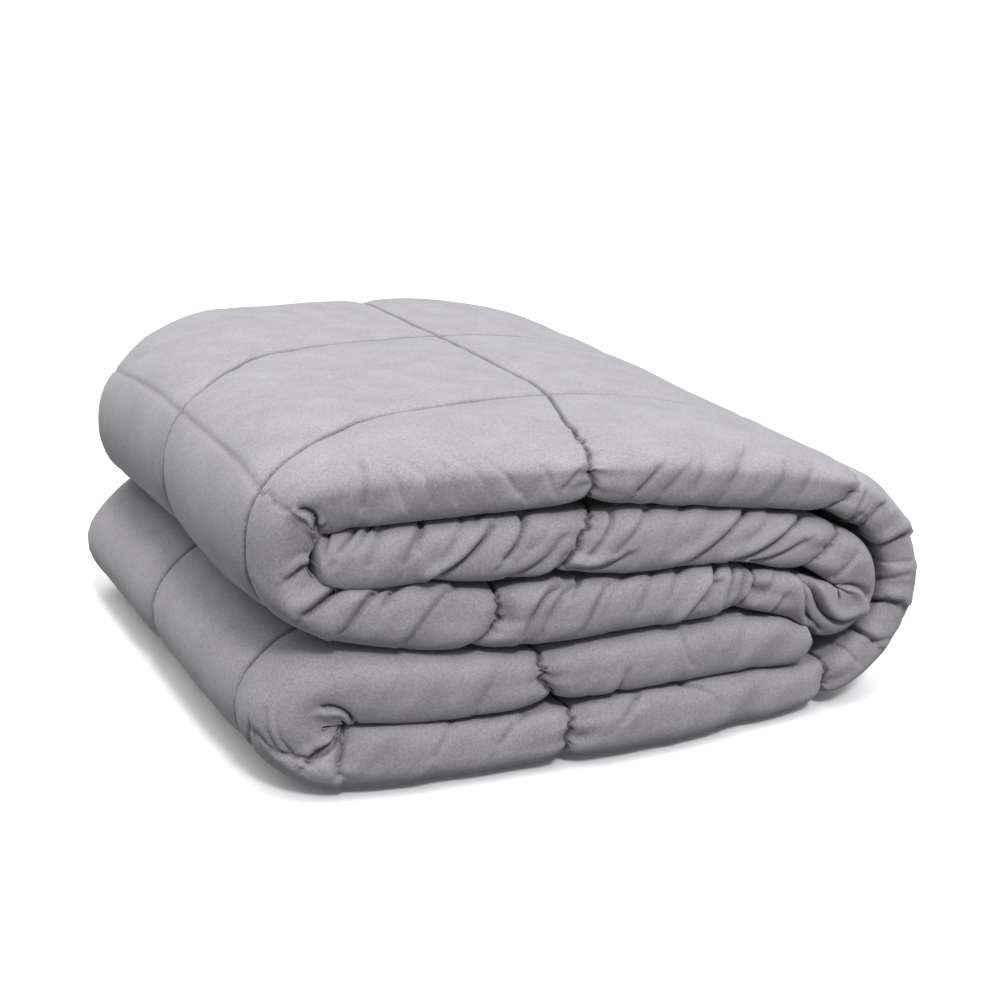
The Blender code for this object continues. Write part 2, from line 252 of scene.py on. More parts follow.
def smooth_curve(rows, spans_per_row=12):
    """Centripetal Catmull-Rom curve through rows whose first two columns are the place."""
    rows = np.array(rows, float)
    rows = np.vstack([2 * rows[0] - rows[1], rows, 2 * rows[-1] - rows[-2]])
    out = []
    for p0, p1, p2, p3 in zip(rows, rows[1:], rows[2:], rows[3:]):
        t0 = 0.0
        t1 = t0 + math.dist(p0[:2], p1[:2]) ** CENTRIPETAL
        t2 = t1 + math.dist(p1[:2], p2[:2]) ** CENTRIPETAL
        t3 = t2 + math.dist(p2[:2], p3[:2]) ** CENTRIPETAL
        for t in np.linspace(t1, t2, spans_per_row, endpoint=False):
            a1 = p0 + (p1 - p0) * (t - t0) / (t1 - t0)
            a2 = p1 + (p2 - p1) * (t - t1) / (t2 - t1)
            a3 = p2 + (p3 - p2) * (t - t2) / (t3 - t2)
            b1 = a1 + (a2 - a1) * (t - t0) / (t2 - t0)
            b2 = a2 + (a3 - a2) * (t - t1) / (t3 - t1)
            out.append(b1 + (b2 - b1) * (t - t1) / (t2 - t1))
    out.append(rows[-2])
    return np.array(out)


def ramp(value, start, end):
    """A smooth step from 0 at the start to 1 at the end, which may lie below the start."""
    share = np.clip((value - start) / (end - start), 0.0, 1.0)
    return share * share * (3 - 2 * share)


def bell(value, width):
    """1 at 0, falling away smoothly over this width."""
    return np.exp(-((value / width) ** 2))


def smoothed(values, reach):
    """The values averaged with this many on either side, the nearest counting the most."""
    kernel = np.hanning(2 * reach + 1) / np.hanning(2 * reach + 1).sum()
    return np.convolve(np.pad(values, reach, mode="edge"), kernel, mode="valid")


def end_taper(s, length):
    """Share of the full thickness this far along a strip of this length."""
    inward = np.clip(np.minimum(s, length - s) / END_ROUND, 0, 1)
    return END_TIP + (1 - END_TIP) * (1 - (1 - inward) ** FULLNESS) ** (1 / FULLNESS)


class CentreLine:
    """The strip's centre line, looked up by the distance s along it."""

    def __init__(self):
        dense = smooth_curve([row for part in STRIP for row in part])
        self.x, self.z, self.half, self.round = dense.T
        steps = np.hypot(np.diff(self.x), np.diff(self.z))
        self.s = np.concatenate([[0.0], np.cumsum(steps)])
        slopes = (np.gradient(self.z, self.s), np.gradient(self.x, self.s))
        self.heading = smoothed(np.unwrap(np.arctan2(*slopes)), HEADING_REACH)
        self.curl = np.gradient(self.heading, self.s)
        self.room = {side: self.room_on(side) for side in (INNER, OUTER)}
        self.even = np.arange(0.0, self.s[-1], PLAN_STEP)
        x, z = (np.interp(self.even, self.s, column) for column in (self.x, self.z))
        further = LOWER_SEAM_SHIFT * ramp(z, *SHIFT_HEIGHTS) * ramp(x, *SHIFT_RANGE)
        plan_x, *columns = np.array(PLAN).T
        self.plan = [
            smoothed(np.interp(x, plan_x, column) + shift, PLAN_REACH)
            for column, shift in zip(columns, (0, further, further, 0))
        ]

    def room_on(self, side):
        """How thick the strip can be on this side before it meets a layer or itself."""
        dx, dz = self.x[None] - self.x[:, None], self.z[None] - self.z[:, None]
        level = np.cos(self.heading)[:, None] * dz - np.sin(self.heading)[:, None] * dx
        towards = side * level
        across = (dx**2 + dz**2) / np.maximum(towards, TINY)
        other = (self.half * end_taper(self.s, self.s[-1]))[None]
        share = self.half[:, None] / (self.half[:, None] + other)
        return np.where(towards > TINY, across * share, FAR).min(axis=1) - LAYER_GAP / 2

    def where(self, part, along):
        """The distance along the strip of a place so many millimetres along one of its parts."""
        first = part[0]
        return self.s[np.argmin((self.x - first[0]) ** 2 + (self.z - first[1]) ** 2)] + along


LINE = CentreLine()
LENGTH = LINE.s[-1]
AT_EDGE = SEAM_V.index(0.0)  # the column of a cross seam's place on the front edge
SEAMS = np.array([LINE.where(part, along[AT_EDGE]) for part, _, *along in CROSS_SEAMS])
PULLS = np.array([pull for _, pull, *_ in CROSS_SEAMS])
SEAM_PATHS = [np.array(along) - along[AT_EDGE] for _, _, *along in CROSS_SEAMS]


def noise(u, v, seed):
    """Smooth value noise in -1 to 1, with one cell a unit."""
    rng = np.random.default_rng(seed)
    cells = rng.uniform(-1, 1, (NOISE_CELLS, NOISE_CELLS))
    iu, iv = np.floor(u).astype(int), np.floor(v).astype(int)
    fu, fv = u - iu, v - iv
    fu, fv = fu * fu * (3 - 2 * fu), fv * fv * (3 - 2 * fv)

    def cell(a, b):
        return cells[a % NOISE_CELLS, b % NOISE_CELLS]

    low = cell(iu, iv) * (1 - fu) + cell(iu + 1, iv) * fu
    high = cell(iu, iv + 1) * (1 - fu) + cell(iu + 1, iv + 1) * fu
    return low * (1 - fv) + high * fv


def layered(u, v, layers):
    """The sum of noise layers, from rows such as those of WAVES."""
    return sum(
        height * noise(u / along, v / across, seed) for height, along, across, seed in layers
    )


def line_noise(kind, along, side, number):
    """Noise along a sewn line of this number, on this side of it."""
    per_side, per_line, seed = LINE_NOISE[kind]
    return noise(along, per_side * side + per_line * number, seed)


# ---------------------------------------------------------------- creases
# One row each: part of the strip, distance along it and v where the crease starts, the same where
# it ends, how far it bows to the left of its way, its half width, its depth at the start and at the
# end, and its lip: the height of the ridge on its right over its depth, or of one on its left if
# negative. Left and right are as seen from outside.
CREASES = (
    # the tongue's end
    (LEAF_2, 229.0, 21.0, 236.0, 8.0, 0.0, 1.5, 1.8, 0.8, 0.5),
    (LEAF_2, 218.0, 19.0, 228.0, 7.0, 0.0, 1.5, 2.6, 0.8, 0.6),
    (LEAF_2, 211.0, 21.0, 222.0, 6.0, 0.0, 2.2, 2.2, 0.6, 0.4),
    (LEAF_2, 209.0, 17.0, 216.0, 0.0, 0.0, 2.8, 2.0, 0.8, 0.5),
    # the second leaf's front, left of its seam
    (LEAF_2, 189.0, 22.0, 196.0, 4.0, 0.0, 2.4, 2.8, 1.2, -0.5),
    (LEAF_2, 193.0, 12.0, 201.0, -2.0, 0.0, 2.4, 1.6, 0.6, 0.5),
    (LEAF_2, 172.0, 21.0, 184.0, -3.0, 1.0, 3.0, 2.0, 0.8, 0.6),
    (LEAF_2, 160.0, 14.0, 188.0, -11.0, 3.0, 1.6, 1.6, 3.0, 0.8),
    (LEAF_2, 145.0, 21.0, 156.0, -3.0, 3.0, 1.8, 2.6, 1.2, 0.8),
    (LEAF_2, 164.0, 22.0, 171.0, 2.0, 0.0, 3.4, 1.4, 0.5, 0.4),
    (LEAF_2, 129.0, 4.0, 153.0, -14.0, 3.0, 2.6, 0.7, 2.2, 0.6),
    (LEAF_2, 134.0, 12.0, 144.0, 0.0, 2.0, 3.2, 0.9, 0.6, 0.4),
    # right of its seam
    (LEAF_2, 104.0, 20.0, 116.0, -5.0, 2.0, 2.4, 1.8, 1.6, 0.6),
    (LEAF_2, 86.0, 20.0, 104.0, -4.0, 2.0, 3.0, 2.2, 1.0, 0.6),
    (LEAF_2, 97.0, -5.0, 120.0, -14.0, 2.0, 1.6, 0.8, 2.2, 0.8),
    (LEAF_2, 66.0, 22.0, 78.0, 0.0, 0.0, 3.4, 1.6, 0.6, 0.4),
    (LEAF_2, 50.0, 20.0, 60.0, 0.0, 0.0, 3.4, 1.0, 0.5, 0.4),
    (LEAF_2, 30.0, 20.0, 70.0, -13.0, 5.0, 2.0, 2.0, 2.4, 0.9),
    (LEAF_2, -4.0, 20.0, 38.0, -12.0, 5.0, 1.8, 2.0, 2.6, 0.9),
    (LEAF_2, 16.0, 20.0, 30.0, 0.0, 2.0, 3.4, 1.2, 0.8, 0.4),
    (FOLD_RIGHT, 92.0, 2.0, 120.0, -12.0, 2.0, 1.6, 0.8, 2.0, 0.7),
    # the upper left fold, where the tongue pushes into it
    (FOLD_UPPER_LEFT, 72.0, -18.0, 60.0, 6.0, -2.0, 1.8, 3.8, 1.6, 0.9),
    (FOLD_UPPER_LEFT, 90.0, -17.0, 75.0, 8.0, -2.0, 2.8, 4.4, 1.6, 0.7),
    (FOLD_UPPER_LEFT, 43.0, -5.0, 46.0, 4.0, 0.5, 1.5, 1.8, 0.8, 0.6),
    (FOLD_UPPER_LEFT, 36.0, -5.0, 41.0, 4.0, 0.0, 3.2, 0.6, 0.3, 0.3),
    (FOLD_UPPER_LEFT, 51.0, -5.0, 54.0, 3.0, 0.0, 3.2, 0.6, 0.3, -0.3),
    (FOLD_UPPER_LEFT, 16.0, 3.0, 18.5, -8.0, 3.0, 1.1, 1.6, 2.6, 0.9),
    (FOLD_UPPER_LEFT, 17.0, -9.0, 31.0, -12.0, 0.0, 1.4, 2.2, 1.0, 0.5),
    # the third leaf's front
    (LEAF_3, 10.0, -18.0, 4.0, -6.0, 0.0, 2.0, 2.2, 0.6, 0.4),
    (LEAF_3, 43.0, -24.0, 18.0, 11.0, -3.0, 3.0, 2.2, 1.2, 0.6),
    (LEAF_3, 88.0, -18.0, 71.0, 9.0, -3.0, 2.4, 2.8, 1.4, 0.7),
    (LEAF_3, 94.0, -18.0, 78.0, 12.0, -2.0, 2.2, 1.8, 0.8, -0.5),
    (LEAF_3, 99.0, -22.0, 92.0, -8.0, 0.0, 2.4, 2.6, 0.8, 0.4),
    (LEAF_3, 111.0, -16.0, 97.0, 9.0, -1.0, 2.6, 1.8, 1.0, 0.6),
    (LEAF_3, 122.0, -22.0, 106.0, 6.0, -2.0, 3.4, 1.4, 0.6, 0.4),
    (LEAF_3, 136.0, -22.0, 124.0, 2.0, 0.0, 3.0, 1.4, 0.6, 0.3),
    (LEAF_3, 149.0, -22.0, 140.0, -2.0, 0.0, 2.6, 1.4, 0.6, 0.4),
    (LEAF_3, 171.0, -24.0, 160.0, 2.0, 0.0, 2.0, 3.6, 1.6, 0.7),
    (LEAF_3, 166.0, -7.0, 148.0, 14.0, -2.0, 1.8, 1.6, 2.6, 0.7),
    (LEAF_3, 178.0, -18.0, 172.0, 12.0, 0.0, 1.8, 2.4, 2.0, 0.7),
    (LEAF_3, 185.0, -14.0, 181.0, 12.0, 0.0, 1.8, 1.6, 1.4, -0.6),
    (LEAF_3, 202.0, -14.0, 197.0, 4.0, 0.0, 2.6, 1.2, 0.6, 0.4),
    (LEAF_3, 209.0, 0.0, 206.0, 12.0, 0.0, 1.8, 0.8, 1.6, 0.5),
    # the inner right fold, whose pleats fan out from the crease above the third leaf
    (FOLD_RIGHT, -4.0, -16.0, 19.0, 12.0, -4.0, 1.9, 3.2, 3.0, 0.7),
    (FOLD_RIGHT, 2.0, -14.0, 33.0, 8.0, -3.0, 1.6, 2.8, 2.4, -0.7),
    (FOLD_RIGHT, 50.0, -11.0, 40.0, 8.0, 0.0, 1.4, 1.6, 1.8, 0.8),
    (FOLD_RIGHT, 62.0, -12.0, 60.0, 6.0, 0.0, 2.6, 1.0, 0.8, 0.5),
    # the outer right wrap
    (WRAP_RIGHT, 108.0, -32.0, 101.0, 10.0, 3.0, 1.9, 3.0, 2.0, -0.9),
    (WRAP_RIGHT, 113.0, -34.0, 127.0, 2.0, 7.0, 2.0, 2.4, 1.0, -0.7),
    (WRAP_RIGHT, 118.0, -34.0, 132.0, -8.0, 4.0, 2.0, 1.8, 0.8, -0.6),
    (WRAP_RIGHT, 131.0, -34.0, 136.0, -8.0, 2.0, 2.0, 1.6, 0.8, -0.6),
    (WRAP_RIGHT, 137.0, -20.0, 139.0, 4.0, 1.0, 2.2, 1.2, 0.6, -0.5),
    (WRAP_RIGHT, 94.0, -24.0, 90.0, 2.0, 1.0, 3.2, 1.4, 0.8, 0.5),
    (WRAP_RIGHT, 62.0, -24.0, 68.0, -1.0, 2.0, 2.0, 2.6, 1.6, -0.8),
    (WRAP_RIGHT, 68.0, -3.0, 64.0, 6.0, 0.0, 2.2, 1.0, 0.5, -0.5),
    (WRAP_RIGHT, 78.0, -22.0, 84.0, 0.0, 1.0, 3.0, 1.4, 0.8, -0.4),
    (WRAP_RIGHT, 42.0, -24.0, 44.0, -3.0, 0.0, 2.0, 2.0, 1.2, -0.6),
    (WRAP_RIGHT, 44.0, -4.0, 50.0, 2.0, 0.0, 2.0, 0.8, 0.4, -0.5),
    (WRAP_RIGHT, 26.0, -24.0, 29.0, -4.0, 0.0, 2.6, 1.4, 0.6, 0.4),
    # the fourth and fifth leaves
    (LEAF_4, 77.0, 12.0, 73.0, -4.0, -1.0, 1.3, 0.9, 0.5, 0.5),
    (LEAF_4, 34.0, 22.0, 44.0, 2.0, 0.0, 4.0, 1.6, 0.6, 0.4),
    (LEAF_4, 107.0, -2.0, 112.0, -16.0, 0.0, 2.4, 0.5, 1.8, 0.5),
    (LEAF_4, 168.0, 10.0, 176.0, -8.0, 0.0, 3.4, 0.8, 1.0, 0.4),
    (LEAF_5, 112.0, -18.0, 102.0, -6.0, 0.0, 2.0, 1.6, 0.5, -0.4),
    (LEAF_5, 130.0, -24.0, 150.0, -10.0, 0.0, 2.2, 1.8, 0.6, -0.5),
    (LEAF_5, 60.0, -22.0, 42.0, -4.0, 0.0, 2.6, 1.2, 0.7, 0.4),
    (LEAF_5, 24.0, -24.0, 12.0, -2.0, 0.0, 2.8, 1.2, 0.8, 0.4),
    # the corner of the lower left fold, with its flap and deep pleat
    (FOLD_LOWER_LEFT, 17.0, -3.0, 4.0, -17.0, 2.0, 1.5, 1.8, 2.6, 0.5),
    (FOLD_LOWER_LEFT, 47.0, -11.0, 43.0, 7.0, -1.0, 1.4, 2.2, 1.6, 0.6),
    (FOLD_LOWER_LEFT, 51.0, -12.0, 55.0, 8.0, -1.0, 2.6, 3.4, 2.0, 0.6),
    (FOLD_LOWER_LEFT, 27.0, 14.0, 38.0, 10.0, 0.0, 1.8, 0.4, 0.9, 0.5),
    (FOLD_LOWER_LEFT, 27.0, 21.0, 34.0, 17.0, 0.0, 1.8, 0.4, 0.8, 0.5),
    # the top leaf's front
    (LEAF_1, 243.0, 14.0, 247.0, -6.0, 0.0, 2.6, 1.2, 1.2, 0.5),
    (LEAF_1, 234.0, 10.0, 229.0, -7.0, 0.0, 3.0, 1.2, 0.8, 0.5),
    (LEAF_1, 222.0, 13.0, 217.0, -7.0, 0.0, 3.4, 1.3, 0.7, 0.4),
    (LEAF_1, 209.0, 9.0, 206.0, -7.0, 0.0, 3.0, 1.2, 0.6, 0.5),
    (LEAF_1, 201.0, 14.0, 196.0, 2.0, 0.0, 3.2, 1.6, 0.8, 0.6),
    (LEAF_1, 190.0, 14.0, 178.0, -6.0, 0.0, 3.0, 1.4, 1.3, 0.6),
    (LEAF_1, 166.0, 6.0, 161.0, -8.0, 0.0, 3.0, 1.0, 0.9, 0.4),
    (LEAF_1, 150.0, 2.0, 157.0, -6.0, 0.0, 1.8, 0.8, 0.6, 0.4),
    (LEAF_1, 112.0, 3.0, 121.0, -8.0, 0.0, 2.2, 0.9, 1.3, 0.6),
    (LEAF_1, 99.0, 2.0, 107.0, -8.0, 0.0, 3.2, 0.9, 1.2, 0.5),
    (LEAF_1, 85.0, 12.0, 90.0, -7.0, 0.0, 3.4, 1.4, 0.9, 0.5),
    (LEAF_1, 62.0, 12.0, 71.0, -3.0, 0.0, 3.4, 1.3, 0.9, 0.5),
    (LEAF_1, 38.0, 8.0, 42.0, -8.0, 0.0, 3.2, 1.1, 1.0, 0.4),
    (LEAF_1, 22.0, 6.0, 27.0, -6.0, 0.0, 3.0, 0.8, 0.9, 0.4),
)
CREASE_POINTS = 20  # along each crease
CREASE_DEPTH = 1.7  # of a crease whose depth is 1 in the table
CREASE_REACH = 5  # half widths beyond which a crease isn't felt
# Over a crease's depth or half width: the slope on one side of it, and the rim on the other
SLOPE, GENTLE, STEEP = 0.6, 1.9, 0.7
RIM, RIM_PLACE, RIM_WIDTH = 0.6, 2.2, 1.9
CUT = 0.9  # depth of the crisp line at the bottom of a crease, over the crease's own
CUT_WIDTH = 1.0  # half width of that line
SOFT_WIDTH = 3.6  # half width from which a crease has no such line
CRISPNESS = 2  # how soon narrower creases have all of it
FULL_SHADE_DEPTH = 5.0  # depth from which the painted shade along that line is darkest
# Ridges fade out where leaves lie close: over which |v|, and up to which depth of the front's
# rounding a face has a leaf close to it
CREVICE, CREVICE_DEEPEST = (7.0, 15.0), 24.0
# The inner face has no relief where it is curled up: over which curvature and |v| it fades
CURL, CURL_REACH = (0.03, 0.045), (7.0, 13.0)
END_FADE = (0.0, 4.0)  # nor has a free end: over which distance from it the relief grows


def crease_path(start, end, bow):
    """Points of a parabola from start to end whose middle lies this far left of the chord."""
    t = np.linspace(0, 1, CREASE_POINTS)[:, None]
    chord = end - start
    left = np.array([chord[1], -chord[0]]) / np.linalg.norm(chord)
    return start + chord * t + left * bow * 4 * t * (1 - t)


def beside(path, s, v):
    """How far along the path each place is, from 0 to 1, and how far right of it."""
    step = np.diff(path, axis=0)
    rel = np.stack([s, v], axis=-1)[:, None] - path[None, :-1]
    t = np.clip((rel * step).sum(-1) / (step**2).sum(-1), 0, 1)
    off = rel - t[..., None] * step
    away = np.hypot(*np.moveaxis(off, -1, 0))
    k = away.argmin(axis=1)
    row = np.arange(len(k))
    right = step[k, 0] * off[row, k, 1] - step[k, 1] * off[row, k, 0]
    return (k + t[row, k]) / (len(path) - 1), away[row, k] * np.sign(right)


def crispness(width):
    return np.clip((SOFT_WIDTH - width) / SOFT_WIDTH * CRISPNESS, 0, 1)


def crease_profile(d, width, lip):
    """Height over depth this far right of a crease: a cut, a rim beside it, a slope opposite."""
    towards = d * (np.sign(lip) if lip else 1.0)
    slope = np.where(towards < 0, np.exp(-np.abs(d) / (GENTLE * width)), bell(d, STEEP * width))
    rim = RIM * abs(lip) * bell(towards - RIM_PLACE * width, RIM_WIDTH * width)
    return rim - SLOPE * slope - CUT * crispness(width) * bell(d, CUT_WIDTH)


def creased(s, v):
    """Height that all the creases add at each place, and the painted shade along their crisp cuts.
    """
    height, cut = np.zeros_like(v), np.zeros_like(v)
    for part, along_0, v_0, along_1, v_1, bow, width, depth_0, depth_1, lip in CREASES:
        first = LINE.where(part, 0)
        start, end = np.array([first + along_0, v_0]), np.array([first + along_1, v_1])
        path = crease_path(start, end, bow)
        low, high = path.min(axis=0) - CREASE_REACH * width, path.max(axis=0) + CREASE_REACH * width
        near = (s > low[0]) & (s < high[0]) & (v > low[1]) & (v < high[1])
        if not near.any():
            continue
        share, d = beside(path, s[near], v[near])
        depth = CREASE_DEPTH * (depth_0 + (depth_1 - depth_0) * share)
        height[near] += depth * crease_profile(d, width, lip)
        # painted shade: the crisp cut at a crease's bottom is darkened in colour, more for deeper
        # creases
        crisp = crispness(width) * np.clip(depth / FULL_SHADE_DEPTH, 0, 1)
        cut[near] = np.maximum(cut[near], crisp * bell(d, CUT_WIDTH))
    return height, cut


# ---------------------------------------------------------------- the grid
# The front edge's band, where the folds are, is divided finely. The rest, the body, has fewer
# stations along the strip.
BAND_REACH = {OUTER: 24.2, INNER: 19.8}  # arc length from the front edge to the band's border
BAND_STEP = 1.1
# One row a block of the body: the part and the distance along it where the block ends, the step
# along the strip, and the columns from the band to line A, to line B and to the back, on the outer
# face and then on the inner one
BLOCKS = (
    (FOLD_LOWER_LEFT, -6.0, 3.6, (6, 4, 6), (5, 4, 6)),
    (LEAF_5, 4.0, 2.1, (26, 28, 28), (5, 4, 6)),
    (WRAP_RIGHT, -2.0, 3.6, (6, 4, 6), (6, 4, 6)),
    (WRAP_RIGHT, 152.0, 3.0, (22, 20, 22), (6, 4, 6)),
    (LEAF_3, -4.0, 3.0, (28, 28, 28), (5, 4, 6)),
    (LEAF_2, 245.0, 3.6, (6, 4, 6), (6, 4, 6)),
)
SEAM_STEPS = (0.6, 1.3, 2.2, 3.3)  # stations either side of a cross seam
END_SHARES = (0.0, 0.02, 0.07, 0.15, 0.28, 0.45, 0.7, 1.0)  # and in a free end's rounding
LEAST_SPAN = 0.2  # between stations
HIDDEN_COLUMNS = 30  # a face with fewer columns than this in all is hidden but for its edges
# The spacing of the body's columns beside an edge or a line, its growth a millimetre away from it,
# and the distance from which it grows
FRONT_SPACING = (1.2, 0.12, 26.0)
BACK_SPACING = (2.6, 0.1, 6.0)
LINE_SPACING = (0.55, 0.3, 0.0)
WIDEST_SPACING = 8.0
ARC_POINTS, SPACING_POINTS = 700, 1500  # at which a section's arc and its spacing are measured

Section = namedtuple("Section", "slid x z half round heading room front line_a line_b back")


def stations():
    """Every block's distances along the strip."""
    fixed = [share * END_ROUND for share in END_SHARES]
    fixed += [LENGTH - f for f in reversed(fixed)]
    for seam in SEAMS:
        fixed += [seam] + [seam + side * step for step in SEAM_STEPS for side in (-1, 1)]
    start, out = -1.0, []
    for part, along, step, *_ in BLOCKS:
        end = LINE.where(part, along)
        marks = sorted(f for f in fixed if start + BAND_STEP < f <= end)
        before = out[-1][-1] + BAND_STEP if out else 0.0
        block = [before]
        for mark in marks + ([end] if end < LENGTH else []):
            spans = max(1, round((mark - before) / step))
            if mark - before > LEAST_SPAN:
                block += list(np.linspace(before, mark, spans + 1)[1:])
                before = mark
        out.append(np.array(block))
        start = end
    return out


def finer(coarse):
    """The band's stations: those of the body, whose numbers come second, and more between them."""
    out, numbers = [coarse[:1]], [0]
    for a, b in zip(coarse, coarse[1:]):
        count = max(1, round((b - a) / BAND_STEP))
        out.append(np.linspace(a, b, count + 1)[1:])
        numbers.append(numbers[-1] + count)
    return np.concatenate(out), np.array(numbers)


def edge_share(inward, depth):
    """Share of the full thickness this far from an edge that is rounded over this depth."""
    rest = 1 - np.clip(inward / depth, 0, 1)
    return (1 - rest**FULLNESS) ** (1 / FULLNESS)


def bent(s, y, v):
    """Where a station's points truly lie along the strip: the cloth round a seam bends with it."""
    from_middle = np.abs(s - SEAMS[MIDDLE_TOP_SEAM])
    out = s - SEAM_LEAN * ramp(y, *LEAN_DEPTHS) * ramp(from_middle, *LEAN_REACH)
    for seam, path in zip(SEAMS, SEAM_PATHS):
        out = out + np.interp(v, SEAM_V, path) * ramp(np.abs(s - seam), SEAM_BEND_REACH, 0)
    return out


def section(s, y, v, face):
    """What the strip is like at stations s (a column), at places y across and v round it."""
    slid = bent(s, y, v)
    columns = (LINE.x, LINE.z, LINE.half, LINE.round, LINE.heading, LINE.room[face])
    x, z, half, outer_round, heading, room = (np.interp(slid, LINE.s, row) for row in columns)
    front_round = outer_round if face == OUTER else INNER_ROUND
    marks = (np.interp(s, LINE.even, row) for row in LINE.plan)
    return Section(slid, x, z, half, front_round, heading, room, *marks)


def pinch_at(s):
    """How far the front and back edges are drawn in."""
    pulls = PULLS[None] * bell(s - SEAMS[None], PINCH_REACH)
    return EDGE_PINCH * pulls.max(axis=1, keepdims=True)


def widening(distance, row):
    """A spacing from a row such as FRONT_SPACING."""
    least, growth, start = row
    return least + growth * np.maximum(distance - start, 0)


def spacing(v, marks, hidden):
    """Distance wanted between the body's columns at arc length v."""
    front, line_a, line_b, back = (np.abs(v - mark) for mark in marks)
    out = np.minimum(widening(front, FRONT_SPACING), widening(back, BACK_SPACING))
    if not hidden:
        beside_line = widening(np.minimum(line_a, line_b), LINE_SPACING)
        out = np.minimum(out, np.minimum(beside_line, WIDEST_SPACING))
    return out


def arcs_of(station, face):
    """Places y across one face at one station, their arc lengths, and those of the four marks."""
    one = np.array([[station]])
    at = Section(*(np.ravel(value)[0] for value in section(one, one * 0, one * 0, face)))
    pinch = pinch_at(one)[0, 0]
    front, back = at.front + pinch, at.back - pinch
    y = front + (back - front) * (0.5 - 0.5 * np.cos(np.linspace(0, math.pi, ARC_POINTS)))
    rounded = edge_share(y - front, at.round) * edge_share(back - y, BACK_SHARE * at.round)
    arc = np.concatenate([[0], np.cumsum(np.hypot(np.diff(y), np.diff(at.half * rounded)))])
    return y, arc, np.interp([front, at.line_a, at.line_b, back], y, arc)


def band_columns(s_list, face):
    """The band's places y and arc lengths on one face, with one more column past its border."""
    arcs = BAND_STEP * np.arange(round(BAND_REACH[face] / BAND_STEP) + 2)
    across = []
    for station in s_list:
        y, arc, _ = arcs_of(station, face)
        across.append(np.interp(arcs, arc, y))
    return np.array(across), np.tile(arcs, (len(s_list), 1))


def body_columns(s_list, face, counts):
    """The body's places y and arc lengths on one face, from one column inside the band."""
    border = BAND_REACH[face]
    across, lengths = [], []
    for station in s_list:
        y, arc, marks = arcs_of(station, face)
        fine = np.linspace(border, arc[-1], SPACING_POINTS)
        steps = np.diff(fine) / spacing(fine[1:], marks, sum(counts) < HIDDEN_COLUMNS)
        number = np.concatenate([[0], np.cumsum(steps)])
        at_marks = np.interp([border, *marks[1:]], fine, number)
        wanted = [
            np.linspace(a, b, count, endpoint=False)
            for a, b, count in zip(at_marks, at_marks[1:], counts)
        ]
        arcs = np.interp(np.concatenate([*wanted, at_marks[-1:]]), number, fine)
        arcs = np.concatenate([[border - BAND_STEP], arcs])
        across.append(np.interp(arcs, arc, y))
        lengths.append(arcs)
    return np.array(across), np.array(lengths)


def valley(distance):
    """How deep the cloth lies this far from a sewn line, leaving out the narrow line itself."""
    crown = np.clip(1 - np.abs(distance) / CROWN_REACH, 0, 1) ** 2
    return VALLEY_DEPTH * np.exp(-np.abs(distance) / VALLEY_REACH) + CROWN * crown


def valleys(s, y, line_a, line_b):
    cross = (PULLS[None] * valley(s - SEAMS[None])).max(axis=1, keepdims=True)
    return np.maximum(cross, np.maximum(valley(y - line_a), valley(y - line_b)))


def from_line(away, start):
    """0 on a sewn line, and 1 from this far away from it."""
    return np.clip(np.abs(away) / start, 0, 1)


def cross_sewn(s, v):
    """Height of the cross seams, a narrow line and the lobes that pucker along it, and the line."""
    nearest = np.abs(s - SEAMS[None]).argmin(axis=1)
    number = nearest[:, None].astype(float)
    across = s - SEAMS[nearest][:, None]
    pull, side = PULLS[nearest][:, None], np.sign(across)
    front = CALM + (1 - CALM) * ramp(np.abs(v), *FRONT_REACH)
    wander = line_noise("wander", v / WANDER_PITCH, side, number) * bell(across, WANDER_REACH)
    # the line's share also darkens the colour: the thread's grey plus painted shade
    line = pull * bell(across + WANDER * front * wander, SEAM_WIDTH)
    lobes = line_noise("pucker", v / PUCKER_PITCH, side, number)
    lobes = lobes * from_line(across, PUCKER_START) * np.exp(-np.abs(across) / PUCKER_REACH)
    drawn = line_noise("drawn", v / DRAWN_PITCH + DRAWN_LEAN * across, side, number)
    drawn = drawn * from_line(across, DRAWN_START) * bell(across, DRAWN_REACH)
    return pull * front * (PUCKER * lobes + DRAWN * drawn) - SEAM_DEPTH * line, line


def long_sewn(s, away, number):
    """The same of one of the two long lines, this far from it."""
    side = np.sign(away)
    wander = line_noise("line wander", s / LINE_WANDER_PITCH, side, number)
    # its share also darkens the colour: the thread's grey plus painted shade
    line = bell(away + LINE_WANDER * wander, LINE_WIDTH)
    lobes = line_noise("line pucker", s / LINE_PUCKER_PITCH, side, number)
    lobes = lobes * from_line(away, LINE_PUCKER_START) * np.exp(-np.abs(away) / LINE_PUCKER_REACH)
    return LINE_PUCKER * lobes - SEAM_DEPTH * line, line


def sewn(s, y, v, line_a, line_b):
    """Height of all the sewn lines, and where they are: thread colour plus painted shade."""
    height, line = cross_sewn(s, v)
    for number, long_line in enumerate((line_a, line_b)):
        more, its_line = long_sewn(s, y - long_line, number)
        height, line = height + more, np.maximum(line, its_line)
    return height, line


def rumpled(s, v):
    """Height of the unevenness: slanting folds on the fronts, fine lines and waves on the faces."""
    fronts = ramp(np.abs(v), *FRONT_FOLDS_REACH)
    folds, fine = layered(s + SLANT * v, v, FRONT_FOLDS), layered(s, v, BRUSHED)
    return fronts * folds + layered(s, v, WAVES) + (1 - fronts) * fine


